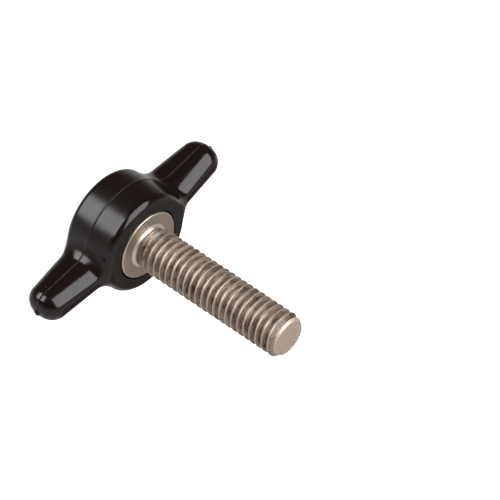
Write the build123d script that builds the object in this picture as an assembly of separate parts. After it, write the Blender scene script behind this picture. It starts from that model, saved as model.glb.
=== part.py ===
from build123d import *
from build123d.topology import SkipClean
import math
import os

# M6 wing screw: a moulded plastic wing head on a cold-headed stainless stud.
# Origin at the centre of the stud's bearing face, +Z along the stud and away
# from the head, +X along one wing. All lengths are millimetres.

# Stud: right-hand M6 x 1 thread, rolled, medium fit.
THREAD_MAJOR_D = 5.96
THREAD_PITCH = 1.0
THREAD_DEPTH = 0.6134 * THREAD_PITCH
CREST_FLAT = THREAD_PITCH / 8
FLANK_TAN = math.tan(math.radians(30))
STUD_LENGTH = 23.5
TIP_CHAMFER_LENGTH = 0.8
TIP_FACE_R = 2.42
NECK_R = 2.68
NECK_END_Z = 1.1
NECK_RAMP = 0.3
FLANGE_FILLET_R = 0.55

# The thread is cut in equal sectors, so that each crest land is a short
# cylindrical face whose size can be measured.
CREST_SECTORS = 12
SECTOR_DEG = 360 / CREST_SECTORS
SECTOR_OVERLAP_DEG = 5
GROOVE_OVERSHOOT = 0.08
GROOVE_START_Z = 1.6

# Bearing flange and the anchor that the plastic is moulded round.
FLANGE_R = 4.7
FLANGE_THICKNESS = 1.0
FLANGE_CHAMFER = 0.14
ANCHOR_GROOVE_R = 3.0
ANCHOR_GROOVE_WIDTH = 1.0
ANCHOR_ACROSS_FLATS = 7.0
ANCHOR_HEIGHT = 3.0
ANCHOR_CHAMFER = 0.4

# Head: a drafted drum with its mould parting plane near mid-height.
FLANGE_PROUD = 0.1
HUB_PARTING_R = 7.2
HUB_HEIGHT = 7.85
PARTING_BELOW_FACE = 4.05
DRAFT_DEG = 3.5
HUB_EDGE_R = 0.9
FLANGE_GAP = 0.22
FLANGE_GAP_DEPTH = 0.5

# Wings: two opposed tapering lobes with an oval section.
WING_TIP_X = 16.0
WING_ROOT_X = 6.1
WING_ROOT_HALF_WIDTH = 2.06
WING_TIP_HALF_WIDTH = 2.22
WING_ROOT_HALF_HEIGHT = 3.62
WING_TIP_HALF_HEIGHT = 2.52
WING_TIP_ROUND = 2.05
WING_ROUND_SECTIONS = 4
WING_FLARE_R = 1.5
WING_FLARE_SECTIONS = 3
GATE_NIB_R = 0.35
GATE_NIB_LENGTH = 0.6
GATE_NIB_PROUD = 0.15

HUB_FACE_Z = -FLANGE_PROUD
HUB_TOP_Z = HUB_FACE_Z - HUB_HEIGHT
PARTING_Z = HUB_FACE_Z - PARTING_BELOW_FACE
THREAD_MAJOR_R = THREAD_MAJOR_D / 2
GROOVE_TOP_Z = -FLANGE_THICKNESS
ANCHOR_TOP_Z = GROOVE_TOP_Z - ANCHOR_GROOVE_WIDTH
ANCHOR_END_Z = ANCHOR_TOP_Z - ANCHOR_HEIGHT


def stud_blank_sector():
    """One sector of the turned stud, from the tip down through the flange."""
    fillet_start = NECK_R + FLANGE_FILLET_R
    outline = BuildLine()
    with outline:
        Polyline((0, STUD_LENGTH), (TIP_FACE_R, STUD_LENGTH),
                 (THREAD_MAJOR_R, STUD_LENGTH - TIP_CHAMFER_LENGTH),
                 (THREAD_MAJOR_R, NECK_END_Z + NECK_RAMP),
                 (NECK_R, NECK_END_Z), (NECK_R, FLANGE_FILLET_R))
        RadiusArc((NECK_R, FLANGE_FILLET_R), (fillet_start, 0), FLANGE_FILLET_R)
        Polyline((fillet_start, 0), (FLANGE_R - FLANGE_CHAMFER, 0),
                 (FLANGE_R, -FLANGE_CHAMFER), (FLANGE_R, GROOVE_TOP_Z),
                 (ANCHOR_GROOVE_R, GROOVE_TOP_Z), (ANCHOR_GROOVE_R, ANCHOR_TOP_Z),
                 (0, ANCHOR_TOP_Z), (0, STUD_LENGTH))
    profile = Plane.XZ * make_face(outline.line)
    return revolve(profile, Axis.Z, SECTOR_DEG).solid()


def groove_sector():
    """The V groove between two crests, swept along the helix over one sector."""
    root_r = THREAD_MAJOR_R - THREAD_DEPTH
    top_r = THREAD_MAJOR_R + GROOVE_OVERSHOOT
    half_width = (THREAD_PITCH - CREST_FLAT) / 2
    half_root = half_width - THREAD_DEPTH * FLANK_TAN
    half_top = half_width + GROOVE_OVERSHOOT * FLANK_TAN
    corners = [(root_r, -half_root), (top_r, -half_top), (top_r, half_top), (root_r, half_root)]
    profile = Plane.XZ * make_face(Polyline(*corners, close=True))
    rise_per_deg = THREAD_PITCH / 360
    swept_deg = SECTOR_DEG + 2 * SECTOR_OVERLAP_DEG
    path = Helix(THREAD_PITCH, swept_deg * rise_per_deg, root_r)
    groove = sweep(profile, path=path, is_frenet=True).solid()
    lowered = groove.moved(Location((0, 0, -SECTOR_OVERLAP_DEG * rise_per_deg)))
    return lowered.rotate(Axis.Z, -SECTOR_OVERLAP_DEG)


def threaded_sector(index, blank, groove):
    """One sector of the stud with every turn of its thread groove cut."""
    turns = math.ceil((STUD_LENGTH - GROOVE_START_Z) / THREAD_PITCH) + 1
    lead = GROOVE_START_Z + THREAD_PITCH * index / CREST_SECTORS
    cutters = [groove.moved(Location((0, 0, lead + turn * THREAD_PITCH))) for turn in range(turns)]
    return blank.cut(*cutters).rotate(Axis.Z, SECTOR_DEG * index).solid()


def anchor_head():
    """The hexagonal head that locks the stud into the plastic."""
    corner_r = ANCHOR_ACROSS_FLATS / 2 / math.cos(math.radians(30))
    hexagon = RegularPolygon(corner_r, 6)
    body = extrude(hexagon, ANCHOR_HEIGHT)
    body = chamfer(body.faces().sort_by(Axis.Z).first.edges(), ANCHOR_CHAMFER)
    return Pos(0, 0, ANCHOR_END_Z) * body


def threaded_stud():
    """The stainless piece: thread, flange, locking groove and hexagon."""
    blank = stud_blank_sector()
    groove = groove_sector()
    sectors = [threaded_sector(i, blank, groove) for i in range(CREST_SECTORS)]
    with SkipClean():
        return sectors[0].fuse(*sectors[1:], anchor_head().solid())


def hub_drum():
    """The drafted drum, widest at its parting plane, with rounded edges."""
    rise_to_face = HUB_FACE_Z - PARTING_Z
    rise_to_top = PARTING_Z - HUB_TOP_Z
    draft_tan = math.tan(math.radians(DRAFT_DEG))
    outline = Polyline((0, HUB_FACE_Z), (HUB_PARTING_R - rise_to_face * draft_tan, HUB_FACE_Z),
                       (HUB_PARTING_R, PARTING_Z),
                       (HUB_PARTING_R - rise_to_top * draft_tan, HUB_TOP_Z),
                       (0, HUB_TOP_Z), close=True)
    drum = revolve(Plane.XZ * make_face(outline), Axis.Z)
    rims = drum.edges().filter_by(GeomType.CIRCLE).sort_by(Axis.Z)
    return fillet([rims.first, rims.last], HUB_EDGE_R)


def wing_section(x, extra_width=0, inset=0):
    """The wing's oval at one distance from the axis."""
    along = (x - WING_ROOT_X) / (WING_TIP_X - WING_ROOT_X)
    half_width = WING_ROOT_HALF_WIDTH + along * (WING_TIP_HALF_WIDTH - WING_ROOT_HALF_WIDTH)
    half_height = WING_ROOT_HALF_HEIGHT + along * (WING_TIP_HALF_HEIGHT - WING_ROOT_HALF_HEIGHT)
    plane = Plane(origin=(x, 0, PARTING_Z), x_dir=(0, 1, 0), z_dir=(1, 0, 0))
    return plane * Ellipse(half_width + extra_width - inset, half_height - inset)


def root_flare():
    """The rounded flare where the wing's sides run into the drum."""
    sections = []
    for i in range(WING_FLARE_SECTIONS + 1):
        angle = math.radians(90 * i / WING_FLARE_SECTIONS)
        x = WING_ROOT_X + WING_FLARE_R * (1 - math.cos(angle))
        sections.append(wing_section(x, extra_width=WING_FLARE_R * (1 - math.sin(angle))))
    return loft(sections)


def wing():
    """The wing on the +X side: a straight tapering oval with a ball end."""
    round_start = WING_TIP_X - WING_TIP_ROUND
    shank = loft([wing_section(WING_ROOT_X + WING_FLARE_R), wing_section(round_start)])
    ball_sections = []
    for i in range(WING_ROUND_SECTIONS + 1):
        angle = math.radians(90 * i / WING_ROUND_SECTIONS)
        x = round_start + WING_TIP_ROUND * math.sin(angle)
        ball_sections.append(wing_section(x, inset=WING_TIP_ROUND * (1 - math.cos(angle))))
    return root_flare() + shank + loft(ball_sections)


def gate_nib():
    """The short stump left where the moulding was cut from its runner."""
    end_x = WING_TIP_X + GATE_NIB_PROUD
    nib = Cylinder(GATE_NIB_R, GATE_NIB_LENGTH, align=(Align.CENTER, Align.CENTER, Align.MAX))
    return Pos(end_x, 0, PARTING_Z) * Rot(0, 90, 0) * nib


def flange_gap():
    """The open ring round the flange's rim."""
    ring = Circle(FLANGE_R + FLANGE_GAP) - Circle(FLANGE_R)
    return Pos(0, 0, HUB_FACE_Z - FLANGE_GAP_DEPTH) * extrude(ring, FLANGE_GAP_DEPTH)


def stud_cavity():
    """The space that the flange, groove and hexagon fill in the plastic."""
    flange = Pos(0, 0, GROOVE_TOP_Z) * extrude(Circle(FLANGE_R), FLANGE_THICKNESS)
    groove = Pos(0, 0, ANCHOR_TOP_Z) * extrude(Circle(ANCHOR_GROOVE_R), ANCHOR_GROOVE_WIDTH)
    return flange + groove + anchor_head()


def wing_head():
    """The plastic piece: drum, two wings, gate nibs and the stud's cavity."""
    lobe = wing()
    body = hub_drum() + lobe + lobe.rotate(Axis.Z, 180)
    nib = gate_nib()
    body = body + nib + nib.rotate(Axis.Z, 180)
    return body - stud_cavity() - flange_gap()


os.makedirs("parts", exist_ok=True)
export_step(threaded_stud(), "parts/threaded_stud.step")
export_step(wing_head(), "parts/wing_head.step")
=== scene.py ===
"""A wing screw in a small light-tent studio.

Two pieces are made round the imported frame: the moulded plastic wing head and the
cold-headed stainless stud. Sizes are held in millimetres and written to the meshes in metres.
"""

import logging
import math
from collections.abc import Callable, Sequence
from dataclasses import dataclass
from enum import Enum
from functools import partial
from typing import Any

import bmesh
import bpy
import numpy as np
from mathutils import Matrix, Vector, noise


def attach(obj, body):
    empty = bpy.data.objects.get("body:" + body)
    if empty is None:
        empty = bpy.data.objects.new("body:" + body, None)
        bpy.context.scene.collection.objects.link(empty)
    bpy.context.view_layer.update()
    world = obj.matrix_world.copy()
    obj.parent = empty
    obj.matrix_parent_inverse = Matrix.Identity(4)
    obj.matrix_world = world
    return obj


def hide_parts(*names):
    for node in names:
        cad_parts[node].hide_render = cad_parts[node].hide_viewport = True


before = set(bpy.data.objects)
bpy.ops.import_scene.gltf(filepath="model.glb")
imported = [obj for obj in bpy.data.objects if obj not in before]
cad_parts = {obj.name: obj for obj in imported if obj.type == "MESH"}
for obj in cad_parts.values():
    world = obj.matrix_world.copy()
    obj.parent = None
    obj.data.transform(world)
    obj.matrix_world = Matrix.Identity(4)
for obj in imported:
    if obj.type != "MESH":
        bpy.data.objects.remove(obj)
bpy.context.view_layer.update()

LOG = logging.getLogger("wing_screw")
MM = 0.001
BODY = "root"
X, Y, Z = 0, 1, 2
MATH = "ShaderNodeMath"
VECTOR_MATH = "ShaderNodeVectorMath"
RAMP = "ShaderNodeMapRange"
MIX = "ShaderNodeMix"
NOISE = "ShaderNodeTexNoise"
BUMP = "ShaderNodeBump"

Span = tuple[float, float]


class Slot(Enum):
    """The record's material slots."""

    HEAD = "head_plastic"
    STUD = "stud_steel"


def linear_rgba(hex_code: str) -> tuple[float, float, float, float]:
    """Turns an sRGB hex colour into linear RGBA.

    Args:
        hex_code: Six hexadecimal digits after a hash sign.

    Returns:
        The linear colour with full alpha.
    """
    channels = [int(hex_code[i : i + 2], 16) / 255 for i in (1, 3, 5)]
    linear = [c / 12.92 if c <= 0.04045 else ((c + 0.055) / 1.055) ** 2.4 for c in channels]
    return (*linear, 1.0)


def add_node(
    tree: bpy.types.NodeTree, kind: str, inputs: dict | Sequence = (), **settings: Any
) -> bpy.types.Node:
    """Adds one node with its settings, values and links.

    Args:
        tree: The node tree to add to.
        kind: The node's type name.
        inputs: What its sockets take, by name or in order: a value, a socket to link from, or
            a node, which is linked from its first output in use.
        settings: The node's own properties.

    Returns:
        The new node.
    """
    node = tree.nodes.new(kind)
    for name, value in settings.items():
        setattr(node, name, value)
    for key, value in inputs.items() if isinstance(inputs, dict) else enumerate(inputs):
        if isinstance(value, bpy.types.Node):
            value = next(output for output in value.outputs if output.enabled)
        if isinstance(value, bpy.types.NodeSocket):
            tree.links.new(value, node.inputs[key])
        else:
            node.inputs[key].default_value = value
    return node


def make_object(name: str, mesh: bpy.types.Mesh) -> bpy.types.Object:
    """Links a mesh into the scene as an object at the origin.

    Args:
        name: The object's name.
        mesh: Its mesh, in metres.

    Returns:
        The object.
    """
    made = bpy.data.objects.new(name, mesh)
    bpy.context.scene.collection.objects.link(made)
    return made


# ---------------------------------------------------------------- finishes


class Draft:
    """A material being drawn, with where each point of the surface is, in millimetres."""

    def __init__(self, name: str) -> None:
        """Starts an empty material.

        Args:
            name: The material's name.
        """
        self.made = bpy.data.materials.new(name)
        self.made.use_nodes = True
        self.made.node_tree.nodes.clear()
        self.add = partial(add_node, self.made.node_tree)
        place = self.add("ShaderNodeTexCoord").outputs["Object"]
        self.in_mm = self.add(VECTOR_MATH, {0: place, "Scale": 1 / MM}, operation="SCALE")
        self.parts = self.add("ShaderNodeSeparateXYZ", (self.in_mm,)).outputs
        squares = [self.add(MATH, (self.parts[axis],) * 2, operation="MULTIPLY") for axis in (X, Y)]
        self.radius = self.add(MATH, (self.add(MATH, squares, operation="ADD"),), operation="SQRT")

    def shade(self, inputs: dict) -> bpy.types.Material:
        """Adds the shader and its output.

        Args:
            inputs: What the shader's sockets take, by name.

        Returns:
            The finished material.
        """
        shader = self.add("ShaderNodeBsdfPrincipled", inputs)
        self.add("ShaderNodeOutputMaterial", {"Surface": shader})
        return self.made


@dataclass(frozen=True)
class MouldedNylon:
    """Black nylon, injection moulded in a polished mould.

    The eye sees a clear dark reflection with a faint orange-peel waviness on the wings, a softer
    one on the drum's wall, turning lines on the ring round the flange, and a satin bloom on the
    flat top, whose mould face was etched.
    """

    colour: str = "#100a09"
    roughness: Span = (0.12, 0.17)
    ior: float = 1.53
    specular: float = 0.34
    # Handling marks that change the gloss a little.
    wear_mm: float = 2.857
    wear_level: Span = (0.35, 0.65)
    # Specks of dust, drawn coarser than real ones so that they show.
    dust_colour: str = "#5b524e"
    dust_mm: float = 0.32
    dust_level: Span = (0.74, 0.8)
    # Orange peel: the melt's slight shrinkage under its skin.
    peel_mm: float = 1.6
    peel_depth_mm: float = 0.004
    # The drum's wall, softer than the wings.
    drum_roughness: float = 0.27
    drum_edge_mm: Span = (7.85, 7.35)
    drum_middle_z_mm: float = -4.15
    drum_reach_mm: Span = (3.3, 2.8)
    # The ring round the flange. Real turning lines are finer; these are as coarse as they show.
    face_roughness: float = 0.55
    face_edge_mm: Span = (6.55, 6.25)
    face_z_mm: Span = (-0.22, -0.14)
    ring_pitch_mm: float = 0.2
    ring_depth_mm: float = 0.012
    # The etched flat top. Spark-eroded pits are finer; these are as coarse as they show.
    grain_colour: str = "#211b1a"
    grain_roughness: float = 0.42
    grain_edge_mm: Span = (6.37, 6.13)
    grain_below_z_mm: float = -7.83
    etch_mm: float = 0.14
    etch_depth_mm: float = 0.006

    def material(self) -> bpy.types.Material:
        """Builds the node material.

        Returns:
            The plastic's material.
        """
        draft = Draft("black_nylon_moulded")
        face = self._on_face(draft)
        top = self._on_top(draft)
        return draft.shade(
            {
                "Base Color": self._colours(draft, top),
                "Roughness": self._gloss(draft, face, top),
                "IOR": self.ior,
                "Specular IOR Level": self.specular,
                "Normal": self._relief(draft, face, top),
            }
        )

    def _on_face(self, draft: Draft) -> bpy.types.Node:
        """One on the ring round the flange, nothing elsewhere.

        Args:
            draft: The material being drawn.

        Returns:
            The node that gives the share.
        """
        near, far = self.face_edge_mm
        low, high = self.face_z_mm
        inside = draft.add(RAMP, {"Value": draft.radius, "From Min": near, "From Max": far})
        flat = draft.add(RAMP, {"Value": draft.parts[Z], "From Min": low, "From Max": high})
        return draft.add(MATH, (inside, flat), operation="MULTIPLY")

    def _on_top(self, draft: Draft) -> bpy.types.Node:
        """One on the flat grained top, fading to nothing at its rim.

        Args:
            draft: The material being drawn.

        Returns:
            The node that gives the share.
        """
        start, end = self.grain_edge_mm
        inside = draft.add(RAMP, {"Value": draft.radius, "From Min": start, "From Max": end})
        below = draft.add(MATH, (draft.parts[Z], self.grain_below_z_mm), operation="LESS_THAN")
        return draft.add(MATH, (inside, below), operation="MULTIPLY")

    def _gloss(self, draft: Draft, face: bpy.types.Node, top: bpy.types.Node) -> bpy.types.Node:
        """The roughness of the wings, drum, ring and top.

        Args:
            draft: The material being drawn.
            face: The share of the ring round the flange.
            top: The share of the flat top.

        Returns:
            The node that gives the roughness.
        """
        add = draft.add
        wear = add(
            NOISE,
            {"Vector": draft.in_mm, "Scale": 1 / self.wear_mm, "Detail": 4.0, "Roughness": 0.6},
        )
        low, high = self.wear_level
        glossy, dull = self.roughness
        wings = add(
            RAMP,
            {"Value": wear, "From Min": low, "From Max": high, "To Min": glossy, "To Max": dull},
        )
        start, end = self.drum_edge_mm
        drum = add(RAMP, {"Value": draft.radius, "From Min": start, "From Max": end})
        offset = add(MATH, (draft.parts[Z], self.drum_middle_z_mm), operation="SUBTRACT")
        from_middle = add(MATH, (offset,), operation="ABSOLUTE")
        start, end = self.drum_reach_mm
        wall = add(RAMP, {"Value": from_middle, "From Min": start, "From Max": end})
        drum_wall = add(MATH, (drum, wall), operation="MULTIPLY")
        body = add(MIX, {"Factor": drum_wall, "A": wings, "B": self.drum_roughness})
        ringed = add(MIX, {"Factor": face, "A": body, "B": self.face_roughness})
        return add(MIX, {"Factor": top, "A": ringed, "B": self.grain_roughness})

    def _colours(self, draft: Draft, top: bpy.types.Node) -> bpy.types.Node:
        """The black, a shade paler on the top, with specks of dust.

        Args:
            draft: The material being drawn.
            top: The share of the flat top.

        Returns:
            The node that gives the colour.
        """
        black, pale = linear_rgba(self.colour), linear_rgba(self.grain_colour)
        plain = draft.add(MIX, {"Factor": top, "A": black, "B": pale}, data_type="RGBA")
        lint = draft.add(NOISE, {"Vector": draft.in_mm, "Scale": 1 / self.dust_mm, "Detail": 2.0})
        low, high = self.dust_level
        dust = draft.add(RAMP, {"Value": lint, "From Min": low, "From Max": high})
        grey = linear_rgba(self.dust_colour)
        return draft.add(MIX, {"Factor": dust, "A": plain, "B": grey}, data_type="RGBA")

    def _relief(self, draft: Draft, face: bpy.types.Node, top: bpy.types.Node) -> bpy.types.Node:
        """Orange peel everywhere, turning lines on the ring, and etching on the top.

        Args:
            draft: The material being drawn.
            face: The share of the ring round the flange.
            top: The share of the flat top.

        Returns:
            The node that gives the normal.
        """
        add = draft.add
        peel = add(NOISE, {"Vector": draft.in_mm, "Scale": 1 / self.peel_mm, "Detail": 1.0})
        depth = self.peel_depth_mm * MM
        wavy = add(BUMP, {"Height": peel, "Distance": depth, "Strength": 1.0})
        turned = add(MATH, (draft.radius, 2 * math.pi / self.ring_pitch_mm), operation="MULTIPLY")
        rings = add(MATH, (add(MATH, (turned,), operation="SINE"), face), operation="MULTIPLY")
        depth = self.ring_depth_mm * MM / 2
        ringed = add(BUMP, {"Height": rings, "Distance": depth, "Strength": 1.0, "Normal": wavy})
        etch = add(NOISE, {"Vector": draft.in_mm, "Scale": 1 / self.etch_mm, "Detail": 2.0})
        pits = add(MATH, (etch, top), operation="MULTIPLY")
        depth = self.etch_depth_mm * MM
        return add(BUMP, {"Height": pits, "Distance": depth, "Strength": 1.0, "Normal": ringed})


@dataclass(frozen=True)
class RolledStainless:
    """A2 stainless steel, cold headed and thread rolled, then washed.

    The eye sees a warm grey metal with a satin reflection, with brown washing stains in the grooves
    and fine lines along the rolling. The thin bright line along each crest is a painted highlight:
    the crests are coloured paler than the flanks. The end is duller and slightly torn, where the wire
    was sheared.
    """

    # Painted highlight: the crest colour is paler than the flanks' so that each crest shows a bright
    # line.
    crest_highlight_colour: str = "#bcb1a6"
    flank_colour: str = "#aca095"
    root_colour: str = "#afa092"
    flange_colour: str = "#cec3b7"
    end_colour: str = "#cdc0b3"
    crest_roughness: float = 0.5
    groove_roughness: float = 0.47
    flange_roughness: float = 0.34
    end_roughness: float = 0.62
    roughness_spread: float = 0.05
    # Where the thread, its crest, the flange and the end begin and are full.
    thread_r_mm: Span = (2.4, 2.95)
    crest_share: Span = (0.95, 1.0)
    flange_z_mm: Span = (0.5, 0.25)
    end_z_mm: Span = (22.85, 23.15)
    mottle_mm: float = 1.3
    # Rolling lines. Real ones are a few hundredths apart; these are as coarse as they show.
    line_mm: float = 0.17
    line_run_mm: float = 1.6
    line_depth_mm: float = 0.035
    line_level: Span = (0.45, 0.62)
    line_stain: float = 0.6
    # Brown patches where the rolling oil was not quite washed out.
    stain_colour: str = "#5f4c40"
    stain_mm: float = 1.7
    stain_level: Span = (0.42, 0.66)
    stain_share: float = 0.55
    # The sheared end's torn metal.
    tear_mm: float = 0.45
    tear_depth_mm: float = 0.05
    tear_level: Span = (0.42, 0.95)

    def material(self) -> bpy.types.Material:
        """Builds the node material.

        Returns:
            The steel's material.
        """
        draft = Draft("stainless_rolled")
        add = draft.add
        lines = self._lines(draft)
        mottle = add(
            NOISE,
            {"Vector": draft.in_mm, "Scale": 1 / self.mottle_mm, "Detail": 5.0, "Roughness": 0.65},
        )
        torn = add(
            NOISE,
            {"Vector": draft.in_mm, "Scale": 1 / self.tear_mm, "Detail": 6.0, "Roughness": 0.75},
        )
        low, high = self.flange_z_mm
        flange = add(RAMP, {"Value": draft.parts[Z], "From Min": low, "From Max": high})
        low, high = self.end_z_mm
        end = add(RAMP, {"Value": draft.parts[Z], "From Min": low, "From Max": high})
        low, high = self.thread_r_mm
        proud = add(RAMP, {"Value": draft.radius, "From Min": low, "From Max": high})
        low, high = self.crest_share
        crest = add(RAMP, {"Value": proud, "From Min": low, "From Max": high})

        groove = self._groove_colour(draft, proud, mottle, lines)
        layers = (
            # The paler crest colour is a painted highlight along each crest.
            (crest, linear_rgba(self.crest_highlight_colour)),
            (flange, linear_rgba(self.flange_colour)),
            (end, self._end_colour(draft, torn)),
        )
        colour = groove
        for share, over in layers:
            colour = add(MIX, {"Factor": share, "A": colour, "B": over}, data_type="RGBA")

        crests = {"Factor": crest, "A": self.groove_roughness, "B": self.crest_roughness}
        steel = add(MIX, {"Factor": flange, "A": add(MIX, crests), "B": self.flange_roughness})
        both = add(MATH, (mottle, lines), operation="ADD")
        uneven = add(MATH, (both, self.roughness_spread, steel), operation="MULTIPLY_ADD")
        rough = add(MIX, {"Factor": end, "A": uneven, "B": self.end_roughness})

        depth = self.line_depth_mm * MM
        rolled = add(BUMP, {"Height": lines, "Distance": depth, "Strength": 1.0})
        tears = add(MATH, (torn, end), operation="MULTIPLY")
        depth = self.tear_depth_mm * MM
        relief = {"Height": tears, "Distance": depth, "Strength": 1.0, "Normal": rolled}
        return draft.shade(
            {"Base Color": colour, "Metallic": 1.0, "Roughness": rough, "Normal": add(BUMP, relief)}
        )

    def _lines(self, draft: Draft) -> bpy.types.Node:
        """Noise drawn out along the rolling.

        Args:
            draft: The material being drawn.

        Returns:
            The noise node.
        """
        add = draft.add
        around = add(MATH, (draft.parts[X], draft.parts[Y]), operation="ADD")
        place = (
            add(MATH, (draft.radius, self.line_mm), operation="DIVIDE"),
            add(MATH, (around, self.line_run_mm), operation="DIVIDE"),
            add(MATH, (draft.parts[Z], self.line_mm), operation="DIVIDE"),
        )
        return add(NOISE, {"Vector": add("ShaderNodeCombineXYZ", place), "Scale": 1.0, "Detail": 2.0})

    def _groove_colour(
        self, draft: Draft, proud: bpy.types.Node, mottle: bpy.types.Node, lines: bpy.types.Node
    ) -> bpy.types.Node:
        """The colour from root to flank, with its stains and rolling lines.

        Args:
            draft: The material being drawn.
            proud: Nothing at the root, one at the crest.
            mottle: The steel's unevenness.
            lines: The rolling lines.

        Returns:
            The node that gives the colour.
        """
        add = draft.add
        shift = add(MATH, (mottle, 0.5), operation="SUBTRACT")
        tone = add(MATH, (proud, shift), operation="ADD")
        root, flank = linear_rgba(self.root_colour), linear_rgba(self.flank_colour)
        clean = add(MIX, {"Factor": tone, "A": root, "B": flank}, data_type="RGBA")
        washed = add(
            NOISE,
            {"Vector": draft.in_mm, "Scale": 1 / self.stain_mm, "Detail": 6.0, "Roughness": 0.7},
        )
        low, high = self.stain_level
        patches = add(RAMP, {"Value": washed, "From Min": low, "From Max": high})
        patches = add(MATH, (patches, self.stain_share), operation="MULTIPLY")
        low, high = self.line_level
        fine = add(RAMP, {"Value": lines, "From Min": low, "From Max": high})
        stained = add(MATH, (fine, self.line_stain, patches), operation="MULTIPLY_ADD")
        brown = linear_rgba(self.stain_colour)
        return add(MIX, {"Factor": stained, "A": clean, "B": brown}, data_type="RGBA")

    def _end_colour(self, draft: Draft, torn: bpy.types.Node) -> bpy.types.Node:
        """The sheared end's colour, darker where the metal tore.

        Args:
            draft: The material being drawn.
            torn: The noise of the tears.

        Returns:
            The node that gives the colour.
        """
        low, high = self.tear_level
        tear = draft.add(RAMP, {"Value": torn, "From Min": low, "From Max": high})
        pale, dark = linear_rgba(self.end_colour), linear_rgba(self.flank_colour)
        return draft.add(MIX, {"Factor": tear, "A": pale, "B": dark}, data_type="RGBA")


# ---------------------------------------------------------------- plastic head


def rounded_corner(a: np.ndarray, b: np.ndarray, radius: float) -> np.ndarray:
    """Distance to the overlap of two solids, with the edge between them rounded."""
    deep = np.minimum(np.maximum(a, b) + radius, 0)
    return deep + np.hypot(np.maximum(a + radius, 0), np.maximum(b + radius, 0)) - radius


def filleted_union(a: np.ndarray, b: np.ndarray, radius: float) -> np.ndarray:
    """Distance to two solids joined with a fillet of the given radius between them."""
    corner = np.hypot(np.maximum(radius - a, 0), np.maximum(radius - b, 0))
    return np.maximum(radius, np.minimum(a, b)) - corner


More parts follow.
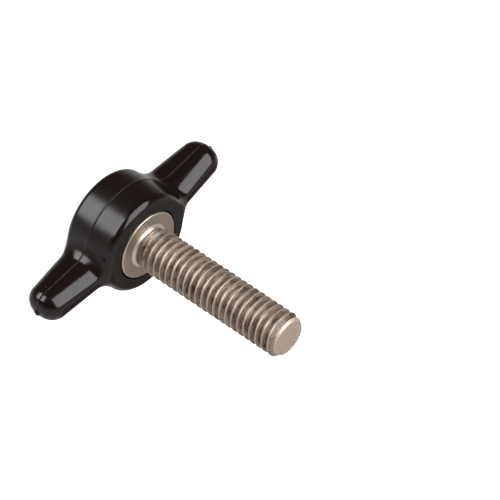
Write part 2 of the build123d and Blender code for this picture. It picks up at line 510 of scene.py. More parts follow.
@dataclass
class WingHead:
    """The moulded head: a drafted drum, two wings, a parting line and gate stumps."""

    name: str = "wing_head_moulding"
    node: str = "wing_head"
    face_z: float = -0.1
    height: float = 7.85
    parting_r: float = 7.2
    parting_below_face: float = 4.05
    draft_deg: float = 3.5
    edge_r: float = 0.9
    tip_x: float = 16.0
    root_x: float = 6.1
    root_half_width: float = 2.06
    tip_half_width: float = 2.2
    least_half_width: float = 0.5
    root_half_height: float = 3.62
    tip_half_height: float = 2.52
    section_power: float = 2.2
    wing_draft: float = 0.05
    tip_round: float = 2.0
    root_fillet_r: float = 1.5
    flash_height: float = 0.042
    flash_width: float = 0.07
    nib_r: float = 0.42
    nib_proud: float = 0.28
    flange_r: float = 4.7
    flange_gap: float = 0.22
    flange_gap_depth: float = 0.5
    flange_thickness: float = 1.0
    groove_r: float = 3.0
    groove_width: float = 1.0
    hexagon_flats: float = 7.0
    hexagon_height: float = 3.0
    cavity_edge_r: float = 0.12
    grain_pitch: float = 0.42
    grain_depth: float = 0.05
    grain_r: float = 6.2
    grain_waves: int = 22
    grain_contrast: float = 2.2
    grain_seed: int = 7
    # The sampling grid: its steps, and how far round each wing it is finer.
    first_radius: float = 0.02
    drum_step: float = 0.11
    wing_step: float = 0.24
    tip_step: float = 0.12
    drum_margin: float = 0.8
    tip_margin: float = 0.5
    height_step: float = 0.2
    end_margins: Span = (0.25, 0.3)
    flash_margins: Span = (0.2, 0.3)
    flash_levels: tuple[float, ...] = (-2.4, -1.6, -1.0, -0.5, 0.0, 0.5, 1.0, 1.6, 2.4)
    wing_arc_deg: float = 33.0
    wing_step_deg: float = 0.75
    drum_step_deg: float = 1.2
    finish: MouldedNylon = MouldedNylon()

    @property
    def parting_z(self) -> float:
        """Height of the mould's parting plane."""
        return self.face_z - self.parting_below_face

    @property
    def top_z(self) -> float:
        """Height of the grained flat."""
        return self.face_z - self.height

    def drum_side(self, radius: np.ndarray, rise: np.ndarray) -> np.ndarray:
        """Distance to the drum's wall, which leans in from the parting plane both ways."""
        draft = math.radians(self.draft_deg)
        return (radius - self.parting_r + rise * math.tan(draft)) * math.cos(draft)

    def wing(self, x: np.ndarray, y: np.ndarray, rise: np.ndarray) -> np.ndarray:
        """Distance to the tapering oval wing.

        Args:
            x: Positions along the wing, taken as positive.
            y: Positions across the wing, taken as positive.
            rise: Distances from the parting plane.

        Returns:
            The distances, near enough true by the surface.
        """
        along = (x - self.root_x) / (self.tip_x - self.root_x)
        half_width = self.root_half_width + along * (self.tip_half_width - self.root_half_width)
        half_width = np.maximum(half_width - rise * self.wing_draft, self.least_half_width)
        half_height = self.root_half_height + along * (self.tip_half_height - self.root_half_height)
        power = self.section_power
        # The small shift keeps the powers below away from nothing.
        across = y / half_width + 1e-6
        up = rise / half_height + 1e-6
        level = (across**power + up**power) ** (1 / power)
        steep = np.hypot(across ** (power - 1) / half_width, up ** (power - 1) / half_height)
        slope = level ** (1 - power) * steep
        return rounded_corner((level - 1) / slope, x - self.tip_x, self.tip_round)

    def cavity(self, x: np.ndarray, y: np.ndarray, z: np.ndarray, radius: np.ndarray) -> np.ndarray:
        """Distance to the space taken by the stud's flange, groove and hexagon.

        Args:
            x: Positions along the wings, taken as positive.
            y: Positions across the wings, taken as positive.
            z: Heights.
            radius: Distances from the axis.

        Returns:
            The distances, negative inside the space.
        """
        flange_z = -self.flange_thickness
        groove_z = flange_z - self.groove_width
        middle_z = groove_z - self.hexagon_height / 2
        gap = radius - self.flange_r - self.flange_gap
        recess = np.maximum(gap, self.face_z - self.flange_gap_depth - z)
        flange = np.maximum(radius - self.flange_r, flange_z - z)
        groove = np.maximum(radius - self.groove_r, groove_z - z)
        corner = math.radians(30)
        leaning = math.cos(corner) * x + math.sin(corner) * y
        flats = np.maximum(y, leaning) - self.hexagon_flats / 2
        hexagon = np.maximum(flats, np.abs(z - middle_z) - self.hexagon_height / 2)
        return np.minimum(np.minimum(recess, flange), np.minimum(groove, hexagon))

    def grain(self, x: np.ndarray, y: np.ndarray, z: np.ndarray) -> np.ndarray:
        """Depth of the worm grain etched in the flat top: equal waves that cross at all angles.

        Args:
            x: Positions along the wings.
            y: Positions across the wings.
            z: Heights.

        Returns:
            The depths, nothing away from the top.
        """
        source = np.random.default_rng(self.grain_seed)
        headings = np.arange(self.grain_waves) + source.random(self.grain_waves)
        headings = math.pi * headings / self.grain_waves
        starts = 2 * math.pi * source.random(self.grain_waves)
        count = 2 * math.pi / self.grain_pitch
        ripple = sum(
            np.cos(count * (x * math.cos(heading) + y * math.sin(heading)) + start)
            for heading, start in zip(headings, starts)
        )
        even = ripple / math.sqrt(self.grain_waves / 2)
        worms = 0.5 + 0.5 * np.tanh(self.grain_contrast * even)
        inside = np.clip((self.grain_r - np.hypot(x, y)) / self.grain_pitch, 0, 1)
        near_top = np.clip(1 - (z - self.top_z) / self.grain_pitch, 0, 1)
        return self.grain_depth * worms * inside * near_top

    def distance(self, x: np.ndarray, y: np.ndarray, z: np.ndarray) -> np.ndarray:
        """Signed distance to the whole moulding, negative inside the plastic.

        Args:
            x: Positions along the wings, in millimetres.
            y: Positions across the wings.
            z: Heights.

        Returns:
            The distances, in millimetres.
        """
        grain = self.grain(x, y, z)
        x, y = np.abs(x), np.abs(y)
        radius = np.hypot(x, y)
        offset = z - self.parting_z
        rise = np.abs(offset)
        ends = np.abs(z - (self.face_z + self.top_z) / 2) - self.height / 2
        wing = self.wing(x, y, rise)
        body = filleted_union(self.drum_side(radius, rise), wing, self.root_fillet_r)
        body = rounded_corner(body, ends, self.edge_r) + grain
        nib_end = x - self.tip_x - self.nib_proud
        nib = rounded_corner(np.hypot(y, offset) - self.nib_r, nib_end, self.nib_r / 3)
        body = filleted_union(body, np.maximum(nib, self.tip_x / 2 - x), self.nib_r / 3)
        body = body - self.flash_height * np.exp(-((offset / self.flash_width) ** 2))
        return rounded_corner(body, -self.cavity(x, y, z, radius), self.cavity_edge_r)

    def grid(self) -> tuple[np.ndarray, np.ndarray, np.ndarray]:
        """Lays out the sampling grid, finer where the shape is finer.

        Returns:
            The radii, the angles and the heights.
        """
        wing_start = self.parting_r + self.drum_margin
        wing_end = self.tip_x - self.tip_round
        radii = np.concatenate(
            [
                np.arange(self.first_radius, wing_start, self.drum_step),
                np.arange(wing_start, wing_end, self.wing_step),
                np.arange(wing_end, self.tip_x + self.tip_margin, self.tip_step),
            ]
        )
        arc = self.wing_arc_deg
        near_wing = np.arange(-arc, arc, self.wing_step_deg)
        between = np.arange(arc, 180 - arc, self.drum_step_deg)
        angles = np.radians(np.concatenate([near_wing, between, near_wing + 180, between + 180]))
        below_end, above_end = self.end_margins
        below_flash, above_flash = self.flash_margins
        flash = self.parting_z + self.flash_width * np.array(self.flash_levels)
        below = np.arange(self.top_z - below_end, self.parting_z - below_flash, self.height_step)
        above = np.arange(self.parting_z + above_flash, self.face_z + above_end, self.height_step)
        return radii, angles, np.concatenate([below, flash, above])

    def build(self) -> bpy.types.Object:
        """Meshes the moulding's surface.

        Returns:
            The head as one closed mesh object.
        """
        points, quads, poles = SurfaceNet(*self.grid()).mesh(self.distance)
        mesh = bpy.data.meshes.new(self.name)
        mesh.from_pydata((points * MM).tolist(), [], quads.tolist() + poles)
        mesh.update()
        body = bmesh.new()
        body.from_mesh(mesh)
        bmesh.ops.recalc_face_normals(body, faces=body.faces)
        body.to_mesh(mesh)
        body.free()
        mesh.polygons.foreach_set("use_smooth", [True] * len(mesh.polygons))
        LOG.info("%s: %d faces", self.name, len(mesh.polygons))
        return make_object(self.name, mesh)

    def dress(self, made: bpy.types.Object) -> None:
        """Gives the head its plastic."""
        made.data.materials.append(self.finish.material())


@dataclass
class SurfaceNet:
    """Meshes a distance function on a cylindrical grid, one vertex for each crossed cell."""

    radii: np.ndarray
    angles: np.ndarray
    heights: np.ndarray
    settle_steps: int = 6
    reach: float = 1e-4
    least_slope: float = 0.5

    def mesh(self, distance: Callable[..., np.ndarray]) -> tuple[np.ndarray, np.ndarray, list]:
        """Finds the surface where the distance is nothing.

        Args:
            distance: A function of x, y and z arrays.

        Returns:
            The points, the four-sided faces, and the faces that close the axis.
        """
        grid_r, grid_a, grid_z = np.meshgrid(self.radii, self.angles, self.heights, indexing="ij")
        field = distance(grid_r * np.cos(grid_a), grid_r * np.sin(grid_a), grid_z)
        inside = field < 0
        around = np.roll(inside, -1, axis=1)
        stack = np.stack([inside[:-1], around[:-1], inside[1:], around[1:]])
        count = stack[..., :-1].sum(0) + stack[..., 1:].sum(0)
        crossed = (count > 0) & (count < 8)
        number = np.full(crossed.shape, -1)
        number[crossed] = np.arange(crossed.sum())
        points = self._settle(distance, self._centres(crossed))
        return points, self._faces(inside, number), self._axis_caps(number)

    def _centres(self, crossed: np.ndarray) -> np.ndarray:
        """Finds the middles of the crossed cells.

        Args:
            crossed: Whether the surface passes through each cell.

        Returns:
            Their x, y and z.
        """
        i, j, k = np.nonzero(crossed)
        following = np.append(self.angles[1:], self.angles[0] + 2 * math.pi)
        radius = (self.radii[i] + self.radii[i + 1]) / 2
        angle = (self.angles[j] + following[j]) / 2
        height = (self.heights[k] + self.heights[k + 1]) / 2
        return np.stack([radius * np.cos(angle), radius * np.sin(angle), height], axis=1)

    def _settle(self, distance: Callable[..., np.ndarray], points: np.ndarray) -> np.ndarray:
        """Moves points onto the surface along the distance function's slope.

        Args:
            distance: A function of x, y and z arrays.
            points: Points near the surface.

        Returns:
            The moved points.
        """
        shifts = np.eye(3) * self.reach
        for _ in range(self.settle_steps):
            here = distance(*points.T)
            rises = [distance(*(points + by).T) - distance(*(points - by).T) for by in shifts]
            slope = np.stack(rises, axis=1) / (2 * self.reach)
            steep = np.maximum((slope**2).sum(1), self.least_slope**2)
            points = points - slope * (here / steep)[:, None]
        return points

    def _faces(self, inside: np.ndarray, number: np.ndarray) -> np.ndarray:
        """Makes one face for every grid edge that the surface crosses.

        Args:
            inside: Whether each grid point is inside the solid.
            number: Each crossed cell's vertex.

        Returns:
            Four vertices for each face.
        """
        before = np.roll(number, 1, axis=1)
        after = np.roll(inside, -1, axis=1)
        faces = []
        i, j, k = np.nonzero(inside[:-1, :, 1:-1] != inside[1:, :, 1:-1])
        faces.append((number[i, j, k], number[i, j, k + 1], before[i, j, k + 1], before[i, j, k]))
        i, j, k = np.nonzero(inside[1:-1, :, 1:-1] != after[1:-1, :, 1:-1])
        outer = number[i + 1, j, k]
        faces.append((number[i, j, k], outer, number[i + 1, j, k + 1], number[i, j, k + 1]))
        i, j, k = np.nonzero(inside[1:-1, :, :-1] != inside[1:-1, :, 1:])
        faces.append((number[i, j, k], number[i + 1, j, k], before[i + 1, j, k], before[i, j, k]))
        return np.concatenate([np.stack(corners, axis=1) for corners in faces])

    def _axis_caps(self, number: np.ndarray) -> list:
        """The small many-sided faces that close the surface where it meets the axis."""
        rings = (number[0, :, k] for k in range(number.shape[2]))
        return [ring.tolist() for ring in rings if (ring >= 0).all()]


# ---------------------------------------------------------------- steel stud


@dataclass
class ThreadedStud:
    """The stainless stud: rolled thread, neck, bearing flange and buried hexagon."""

    name: str = "stud_rolled_thread"
    node: str = "threaded_stud"
    major_r: float = 2.98
    pitch: float = 1.0
    depth: float = 0.6134
    crest_flat: float = 0.125
    flank_deg: float = 30.0
    crest_round: float = 0.02
    root_round: float = 0.1
    length: float = 23.5
    start_deg: float = 136.8
    lead_in_turns: float = 1.1
    neck_r: float = 2.68
    neck_top_z: float = 0.62
    runout_start_z: float = 0.6
    runout_end_z: float = 1.7
    ripple_pitch: float = 0.42
    ripple_height: float = 0.075
    tip_face_r: float = 2.42
    tip_chamfer: float = 0.8
    tip_round: float = 0.06
    thread_fade: float = 0.15
    fade_round: float = 0.05
    tip_rings: tuple[float, ...] = (0.97, 0.94, 0.9, 0.88, 0.85, 0.82, 0.78, 0.7, 0.55)
    tip_wave: float = 1.1
    tip_fine_wave: float = 0.33
    tip_fine_share: float = 0.4
    tip_depth: float = 0.09
    columns: int = 72
    rows_per_pitch: int = 32
    weld_gap: float = 0.001
    flange_r: float = 4.7
    flange_thickness: float = 1.0
    flange_edge_r: float = 0.14
    flange_edge_steps: int = 4
    fillet_r: float = 0.55
    fillet_steps: int = 8
    groove_r: float = 3.0
    groove_width: float = 1.0
    hexagon_flats: float = 7.0
    hexagon_height: float = 3.0
    hexagon_chamfer: float = 0.4
    sharp_deg: float = 48.0
    finish: RolledStainless = RolledStainless()

    def thread_inputs(self) -> dict[str, float]:
        """Lists the thread tree's named sizes.

        Returns:
            Each input's value, in metres or radians where it is a length or an angle.
        """
        start = self.neck_top_z - self.lead_in_turns * self.pitch
        lengths = {
            "Pitch": self.pitch,
            "Major Radius": self.major_r,
            "Thread Depth": self.depth,
            "Crest Rounding": self.crest_round,
            "Root Rounding": self.root_round,
            "Blank Radius": self.neck_r,
            "Start Height": start,
            "Run-out Start": self.runout_start_z,
            "Run-out End": self.runout_end_z,
            "Ripple Pitch": self.ripple_pitch,
            "Ripple Height": self.ripple_height,
            "Tip Height": self.length,
            "Tip Radius": self.tip_face_r,
            "Tip Chamfer": self.tip_chamfer,
            "Tip Rounding": self.tip_round,
            "Tip Fade": self.thread_fade,
            "Fade Rounding": self.fade_round,
        }
        return {name: length * MM for name, length in lengths.items()} | {
            "Crest Share": self.crest_flat / self.pitch,
            "Flank Slope": math.tan(math.radians(self.flank_deg)),
            "Turns": float(math.ceil((self.length - start) / self.pitch) + 1),
            "Start Angle": math.radians(self.start_deg),
        }

    def thread_tree(self) -> bpy.types.NodeTree:
        """Builds the Geometry Nodes tree that winds the thread's surface.

        Returns:
            The tree, with one named input for each size.
        """
        tree = bpy.data.node_groups.new("rolled_thread", "GeometryNodeTree")
        sizes = self.thread_inputs()
        for name in sizes:
            tree.interface.new_socket(name, in_out="INPUT", socket_type="NodeSocketFloat")
        tree.interface.new_socket("Finish", in_out="INPUT", socket_type="NodeSocketMaterial")
        tree.interface.new_socket("Mesh", in_out="OUTPUT", socket_type="NodeSocketGeometry")
        add = partial(add_node, tree)
        given = add("NodeGroupInput").outputs
        counts = {
            "Vertices X": self.columns + 1,
            "Vertices Y": int(sizes["Turns"]) * self.rows_per_pitch + 1,
        }
        sheet = add("GeometryNodeMeshGrid", {"Size X": 1.0, "Size Y": 1.0} | counts)
        where = add("ShaderNodeSeparateXYZ", (add("GeometryNodeInputPosition"),)).outputs
        around = add(MATH, (where[X], 0.5), operation="ADD")
        turned = add(MATH, (where[Y], 0.5), operation="ADD")
        row = add(MATH, (turned, given["Turns"]), operation="MULTIPLY")
        wound = add(MATH, (row, around), operation="ADD")
        height = add(MATH, (wound, given["Pitch"], given["Start Height"]), operation="MULTIPLY_ADD")
        radius = self._thread_radius(add, given, row, height)
        angle = add(MATH, (around, 2 * math.pi, given["Start Angle"]), operation="MULTIPLY_ADD")
        cosine = add(MATH, (angle,), operation="COSINE")
        sine = add(MATH, (angle,), operation="SINE")
        x = add(MATH, (radius, cosine), operation="MULTIPLY")
        y = add(MATH, (radius, sine), operation="MULTIPLY")
        place = add("ShaderNodeCombineXYZ", (x, y, height))
        helix = add("GeometryNodeSetPosition", {"Geometry": sheet, "Position": place})
        weld = {"Geometry": helix, "Distance": self.weld_gap * MM}
        closed = add("GeometryNodeMergeByDistance", weld)
        smooth = add("GeometryNodeSetShadeSmooth", {"Geometry": closed})
        real = add("GeometryNodeRealizeInstances", {"Geometry": smooth})
        dressed = add("GeometryNodeSetMaterial", {"Geometry": real, "Material": given["Finish"]})
        add("NodeGroupOutput", {"Mesh": dressed})
        return tree

    def _thread_radius(
        self,
        add: Callable[..., bpy.types.Node],
        given: bpy.types.bpy_prop_collection,
        row: bpy.types.Node,
        height: bpy.types.Node,
    ) -> bpy.types.Node:
        """Works out the thread's radius, fading into the neck and into the tip's cone.

        Args:
            add: Adds a node to the thread's tree.
            given: The tree's named inputs.
            row: How many turns along the thread each point is.
            height: How high each point is.

        Returns:
            The node that gives the radius.
        """
        turn = add(MATH, (row,), operation="FRACT")
        from_crest = add(MATH, (add(MATH, (turn, 0.5), operation="SUBTRACT"),), operation="ABSOLUTE")
        half_flat = add(MATH, (given["Crest Share"], 0.5), operation="MULTIPLY")
        down_flank = add(MATH, (from_crest, half_flat), operation="SUBTRACT")
        along = add(MATH, (down_flank, given["Pitch"]), operation="MULTIPLY")
        drop = add(MATH, (along, given["Flank Slope"]), operation="DIVIDE")
        crest = add(MATH, (drop, 0.0, given["Crest Rounding"]), operation="SMOOTH_MAX")
        bottom = (crest, given["Thread Depth"], given["Root Rounding"])
        root = add(MATH, bottom, operation="SMOOTH_MIN")
        full = add(MATH, (given["Major Radius"], root), operation="SUBTRACT")

        ends = {"From Min": given["Run-out Start"], "From Max": given["Run-out End"]}
        run_in = add(RAMP, {"Value": height} | ends)
        above_blank = add(MATH, (full, given["Blank Radius"]), operation="SUBTRACT")
        left = add(MATH, (1.0, run_in), operation="SUBTRACT")
        window = add(MATH, (run_in, left), operation="MULTIPLY")
        # Four times the product of the two shares is one in the middle of the run-out.
        window = add(MATH, (window, 4.0), operation="MULTIPLY")
        ripples = add(MATH, (height, given["Ripple Pitch"]), operation="DIVIDE")
        phase = add(MATH, (ripples, 2 * math.pi), operation="MULTIPLY")
        swing = add(MATH, (add(MATH, (phase,), operation="SINE"), window), operation="MULTIPLY")
        blank = (above_blank, run_in, given["Blank Radius"])
        risen = add(MATH, blank, operation="MULTIPLY_ADD")
        thread = add(MATH, (swing, given["Ripple Height"], risen), operation="MULTIPLY_ADD")

        to_tip = add(MATH, (given["Tip Height"], height), operation="SUBTRACT")
        spread = add(MATH, (given["Major Radius"], given["Tip Radius"]), operation="SUBTRACT")
        chamfers = add(MATH, (to_tip, given["Tip Chamfer"]), operation="DIVIDE")
        cone = add(MATH, (chamfers, spread, given["Tip Radius"]), operation="MULTIPLY_ADD")
        past = add(MATH, (given["Tip Fade"], to_tip), operation="SUBTRACT")
        filled = add(MATH, (past, thread), operation="ADD")
        fill = add(MATH, (filled, given["Blank Radius"]), operation="MINIMUM")
        rolled = add(MATH, (thread, fill, given["Fade Rounding"]), operation="SMOOTH_MAX")
        return add(MATH, (rolled, cone, given["Tip Rounding"]), operation="SMOOTH_MIN")

    def thread_mesh(self, finish: bpy.types.Material) -> bpy.types.Mesh:
        """Evaluates the thread tree to a plain mesh.

        Args:
            finish: The steel material.

        Returns:
            The thread's surface, open at both ends.
        """
        values = self.thread_inputs() | {"Finish": finish}
        carrier = make_object("thread_carrier", bpy.data.meshes.new("thread_carrier"))
        winding = carrier.modifiers.new("thread", "NODES")
        winding.node_group = self.thread_tree()
        for item in winding.node_group.interface.items_tree:
            if item.in_out == "INPUT":
                winding[item.identifier] = values[item.name]
        carrier.update_tag()
        graph = bpy.context.evaluated_depsgraph_get()
        mesh = bpy.data.meshes.new_from_object(carrier.evaluated_get(graph))
        bpy.data.objects.remove(carrier)
        return mesh

    def rings(self) -> list[tuple[float, float, bool]]:
        """Lists the rings from the neck to the hexagon's end.

        Returns:
            Each ring's radius and height, and whether it is six-sided.
        """
        rings = []
        for turn in np.radians(np.linspace(0, 90, self.fillet_steps + 1)):
            out, up = 1 - math.cos(turn), 1 - math.sin(turn)
            rings.append((self.neck_r + self.fillet_r * out, self.fillet_r * up, False))
        for turn in np.radians(np.linspace(0, 90, self.flange_edge_steps + 1)):
            inwards, down = 1 - math.sin(turn), 1 - math.cos(turn)
            radius = self.flange_r - self.flange_edge_r * inwards
            rings.append((radius, -self.flange_edge_r * down, False))
        under = -self.flange_thickness
        hexagon_top = under - self.groove_width
        hexagon_end = hexagon_top - self.hexagon_height
        half_flats = self.hexagon_flats / 2
        return rings + [
            (self.flange_r, under, False),
            (self.groove_r, under, False),
            (self.groove_r, hexagon_top, False),
            (half_flats, hexagon_top, True),
            (half_flats, hexagon_end + self.hexagon_chamfer, True),
            (half_flats - self.hexagon_chamfer, hexagon_end, True),
        ]

    def _ring_point(self, radius: float, height: float, six_sided: bool, column: int) -> Vector:
        """Places one point of a ring.

        Args:
            radius: The ring's radius, to the middle of the flats where it is six-sided.
            height: The ring's height.
            six_sided: Whether the ring is a hexagon.
            column: The point's number round the ring.

        Returns:
            The point, in metres.
        """
        angle = 2 * math.pi * column / self.columns
        if six_sided:
            radius /= math.cos((angle % math.radians(60)) - math.radians(30))
        return Vector((radius * math.cos(angle), radius * math.sin(angle), height)) * MM

    def _close_tip(self, body: bmesh.types.BMesh, rim: list) -> None:
        """Closes the end with the slightly uneven face that the wire shear leaves.

        Args:
            body: The stud's mesh.
            rim: The edges round the open end.
        """
        face = bmesh.ops.holes_fill(body, edges=rim, sides=0)["faces"][0]
        last = list(face.verts)
        body.faces.remove(face)
        order = [*range(1, len(last)), 0]
        for share in self.tip_rings:
            ring = [body.verts.new(self._sheared(vert.co.x, vert.co.y, share)) for vert in last]
            for here, following in enumerate(order):
                body.faces.new((last[here], last[following], ring[following], ring[here]))
            last = ring
        middle = body.verts.new(self._sheared(0.0, 0.0, 0.0))
        for here, following in enumerate(order):
            body.faces.new((last[here], last[following], middle))

    def _sheared(self, x: float, y: float, share: float) -> Vector:
        """Places a point of the sheared end.

        Args:
            x: The x of the ring outside it, in metres.
            y: The y of the ring outside it, in metres.
            share: How far out it stays, as a share of the ring outside it.

        Returns:
            The point, in metres.
        """
        flat = Vector((x * share, y * share, 0))
        wave = noise.noise(flat / (self.tip_wave * MM))
        wave += self.tip_fine_share * noise.noise(flat / (self.tip_fine_wave * MM))
        drop = self.tip_depth * (1 + wave) / 2
        return flat + Vector((0, 0, (self.length - drop) * MM))

    def _add_shank(self, body: bmesh.types.BMesh, low_rim: list) -> None:
        """Adds the neck, flange, groove and hexagon, and joins them to the thread.

        Args:
            body: The stud's mesh.
            low_rim: The edges round the thread's lower end.
        """
        first, *others = [
            [body.verts.new(self._ring_point(*ring, column)) for column in range(self.columns)]
            for ring in self.rings()
        ]
        order = [*range(1, self.columns), 0]
        top_edges = [body.edges.new((first[c], first[following])) for c, following in enumerate(order)]
        last = first
        for ring in others:
            for c, following in enumerate(order):
                body.faces.new((last[c], last[following], ring[following], ring[c]))
            last = ring
        body.faces.new(last)
        bmesh.ops.bridge_loops(body, edges=low_rim + top_edges)

    def build(self) -> bpy.types.Object:
        """Makes the stud as one closed mesh.

        Returns:
            The stud's object.
        """
        steel = self.finish.material()
        mesh = self.thread_mesh(steel)
        body = bmesh.new()
        body.from_mesh(mesh)
        for height, outward in ((self.neck_top_z, -1), (self.length, 1)):
            bmesh.ops.bisect_plane(
                body,
                geom=[*body.verts, *body.edges, *body.faces],
                plane_co=(0, 0, height * MM),
                plane_no=(0, 0, outward),
                clear_outer=True,
            )
        rims = [edge for edge in body.edges if edge.is_boundary]
        middle = self.length / 2 * MM
        low_rim = [edge for edge in rims if edge.verts[0].co.z < middle]
        self._close_tip(body, [edge for edge in rims if edge.verts[0].co.z > middle])
        self._add_shank(body, low_rim)
        bmesh.ops.recalc_face_normals(body, faces=body.faces)
        for face in body.faces:
            face.smooth = True
            face.material_index = 0
        body.to_mesh(mesh)
        body.free()
        mesh.name = self.name
        mesh.set_sharp_from_angle(angle=math.radians(self.sharp_deg))
        LOG.info("%s: %d faces", self.name, len(mesh.polygons))
        made = make_object(self.name, mesh)
        self.dress(made, steel)
        return made

    def dress(self, made: bpy.types.Object, steel: bpy.types.Material) -> None:
        """Gives the whole stud the thread's steel."""
        made.data.materials.clear()
        made.data.materials.append(steel)


# ---------------------------------------------------------------- studio


def bearing(azimuth_deg: float, elevation_deg: float) -> Vector:
    """Points from the object outwards; azimuth 0 stands at -Y and looks along +Y.

    Args:
        azimuth_deg: The turn round the object.
        elevation_deg: The height above the horizon.

    Returns:
        The unit vector.
    """
    azimuth, elevation = math.radians(azimuth_deg), math.radians(elevation_deg)
    level = math.cos(elevation)
    return Vector((math.sin(azimuth) * level, -math.cos(azimuth) * level, math.sin(elevation)))


@dataclass(frozen=True)
class Softbox:
    """One soft light, placed by its bearing and height above the horizon."""

    name: str
    azimuth_deg: float
    elevation_deg: float
    distance_mm: float
    width_mm: float
    height_mm: float
    power_w: float

    def place(self) -> bpy.types.Object:
        """Adds the light, turned to face the object.

        Returns:
            The light's object.
        """
        lamp = bpy.data.lights.new(self.name, "AREA")
        lamp.shape = "RECTANGLE"
        lamp.size = self.width_mm * MM
        lamp.size_y = self.height_mm * MM
        lamp.energy = self.power_w
        made = bpy.data.objects.new(self.name, lamp)
        made.visible_camera = False
        back = bearing(self.azimuth_deg, self.elevation_deg)
        made.location = back * self.distance_mm * MM
        made.rotation_euler = (-back).to_track_quat("-Z", "Y").to_euler()
        bpy.context.scene.collection.objects.link(made)
        return made


SIDE_BOX = Softbox(
    "softbox_side",
    azimuth_deg=27.0,
    elevation_deg=-31.0,
    distance_mm=420.0,
    width_mm=290.0,
    height_mm=310.0,
    power_w=1.85,
)
FRONT_BOX = Softbox(
    "softbox_front",
    azimuth_deg=335.0,
    elevation_deg=42.0,
    distance_mm=420.0,
    width_mm=420.0,
    height_mm=500.0,
    power_w=3.4,
)


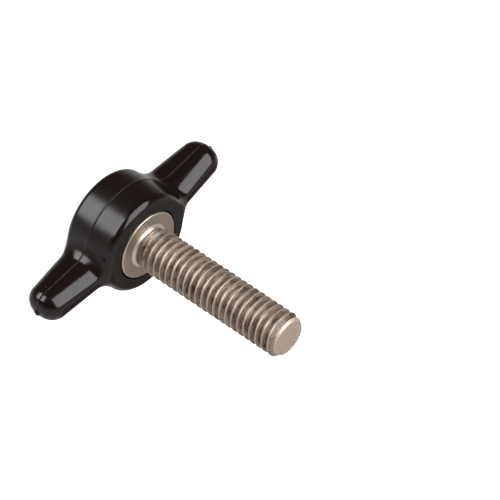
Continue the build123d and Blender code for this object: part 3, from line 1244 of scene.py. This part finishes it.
@dataclass
class Studio:
    """Floor, lights, backdrop and camera."""

    camera_azimuth_deg: float = 25.53
    camera_elevation_deg: float = 27.89
    camera_roll_deg: float = 123.12
    camera_distance_mm: float = 390.0
    camera_aim_mm: tuple[float, float, float] = (-8.04, 1.88, 9.65)
    focal_mm: float = 224.1
    sensor_mm: float = 36.0
    clip_m: Span = (0.01, 20.0)
    floor_half_mm: float = 3000.0
    floor_colour: str = "#f4f4f4"
    floor_glow_colour: str = "#ffffff"
    floor_glow: float = 0.95
    # The tent's white card behind and below the object, and the dim room elsewhere.
    card_colour: str = "#fffdfb"
    room_colour: str = "#ffe6da"
    white_level: float = 0.78
    dark_level: float = 0.09
    sweep_edge: Span = (0.3, 0.75)
    table_down: tuple[float, float, float] = (0.25, 0.965, 0.07)
    table_edge: Span = (-0.3, 0.15)
    tent_top_edge: Span = (-0.3, 0.05)
    # A dark flag off to one side, which the flange's flat face reflects.
    flag_toward: tuple[float, float, float] = (-0.38, 0.8, 0.47)
    flag_edge: Span = (0.84, 0.95)
    flag_share: float = 0.2
    softboxes: tuple[Softbox, ...] = (SIDE_BOX, FRONT_BOX)

    def camera(self) -> None:
        """Adds the camera, rolled so that the stud points down to the right."""
        data = bpy.data.cameras.new("camera")
        data.lens = self.focal_mm
        data.sensor_width = self.sensor_mm
        data.clip_start, data.clip_end = self.clip_m
        made = bpy.data.objects.new("camera", data)
        back = bearing(self.camera_azimuth_deg, self.camera_elevation_deg)
        made.location = (Vector(self.camera_aim_mm) + back * self.camera_distance_mm) * MM
        level = (-back).to_track_quat("-Z", "Y")
        roll = Matrix.Rotation(math.radians(self.camera_roll_deg), 4, "Z")
        made.rotation_euler = (level.to_matrix().to_4x4() @ roll).to_euler()
        bpy.context.scene.collection.objects.link(made)
        bpy.context.scene.camera = made

    def floor(self, z_mm: float) -> None:
        """Adds the pale floor that the grained flat stands on.

        Args:
            z_mm: The floor's height.
        """
        body = bmesh.new()
        bmesh.ops.create_grid(body, x_segments=1, y_segments=1, size=self.floor_half_mm * MM)
        bmesh.ops.translate(body, verts=body.verts, vec=(0, 0, z_mm * MM))
        mesh = bpy.data.meshes.new("floor")
        body.to_mesh(mesh)
        body.free()
        made = make_object("floor", mesh)
        made.visible_glossy = False
        made.visible_shadow = False
        made.visible_diffuse = False
        paint = bpy.data.materials.new("white_card")
        paint.use_nodes = True
        paint.node_tree.nodes.clear()
        add = partial(add_node, paint.node_tree)
        look = {
            "Base Color": linear_rgba(self.floor_colour),
            "Roughness": 1.0,
            "Specular IOR Level": 0.0,
            "Emission Color": linear_rgba(self.floor_glow_colour),
            "Emission Strength": self.floor_glow,
        }
        add("ShaderNodeOutputMaterial", {"Surface": add("ShaderNodeBsdfPrincipled", look)})
        mesh.materials.append(paint)

    def backdrop(self) -> None:
        """Sets the light tent: white behind and below, dim towards the camera."""
        world = bpy.data.worlds.new("light_tent")
        world.use_nodes = True
        bpy.context.scene.world = world
        world.node_tree.nodes.clear()
        add = partial(add_node, world.node_tree)
        toward = add("ShaderNodeTexCoord").outputs["Generated"]
        behind = tuple(-bearing(self.camera_azimuth_deg, self.camera_elevation_deg))
        facing = add(VECTOR_MATH, (toward, behind), operation="DOT_PRODUCT")
        under = add(VECTOR_MATH, (toward, self.table_down), operation="DOT_PRODUCT")
        aside = add(VECTOR_MATH, (toward, self.flag_toward), operation="DOT_PRODUCT")
        low, high = self.sweep_edge
        sweep = add(RAMP, {"Value": facing, "From Min": low, "From Max": high})
        low, high = self.tent_top_edge
        below_top = add(RAMP, {"Value": under, "From Min": low, "From Max": high})
        low, high = self.table_edge
        table = add(RAMP, {"Value": under, "From Min": low, "From Max": high})
        low, high = self.flag_edge
        flag = {"From Min": low, "From Max": high, "To Min": 1.0, "To Max": self.flag_share}
        unflagged = add(RAMP, {"Value": aside} | flag)
        curtain = add(MATH, (sweep, below_top), operation="MULTIPLY")
        card = add(MATH, (curtain, table), operation="MAXIMUM")
        white = add(MATH, (card, unflagged), operation="MULTIPLY")
        span = self.white_level - self.dark_level
        tent = add(MATH, (white, span, self.dark_level), operation="MULTIPLY_ADD")
        # The camera itself sees plain white.
        seen = add("ShaderNodeLightPath").outputs["Is Camera Ray"]
        level = add(MIX, {"Factor": seen, "A": tent, "B": 1.0})
        whiter = add(MATH, (white, seen), operation="MAXIMUM")
        room, paper = linear_rgba(self.room_colour), linear_rgba(self.card_colour)
        tint = add(MIX, {"Factor": whiter, "A": room, "B": paper}, data_type="RGBA")
        light = add("ShaderNodeBackground", {"Color": tint, "Strength": level})
        add("ShaderNodeOutputWorld", {"Surface": light})

    def build(self, floor_z_mm: float) -> None:
        """Builds the whole studio.

        Args:
            floor_z_mm: The floor's height.
        """
        bpy.context.scene.view_settings.view_transform = "Standard"
        self.camera()
        self.floor(floor_z_mm)
        self.backdrop()
        for box in self.softboxes:
            box.place()


def main() -> None:
    """Builds the studio and both pieces, and ties the pieces to the frame."""
    logging.basicConfig(level=logging.INFO, format="%(name)s: %(message)s")
    head = WingHead()
    stud = ThreadedStud()
    Studio().build(head.top_z)
    head_object = head.build()
    head.dress(head_object)
    stud_object = stud.build()
    for made, node, slot in ((head_object, head.node, Slot.HEAD), (stud_object, stud.node, Slot.STUD)):
        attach(made, BODY)
        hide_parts(node)
        LOG.info("%s rides on %s and stands for %s", made.name, BODY, node)


if __name__ == "__main__":
    main()
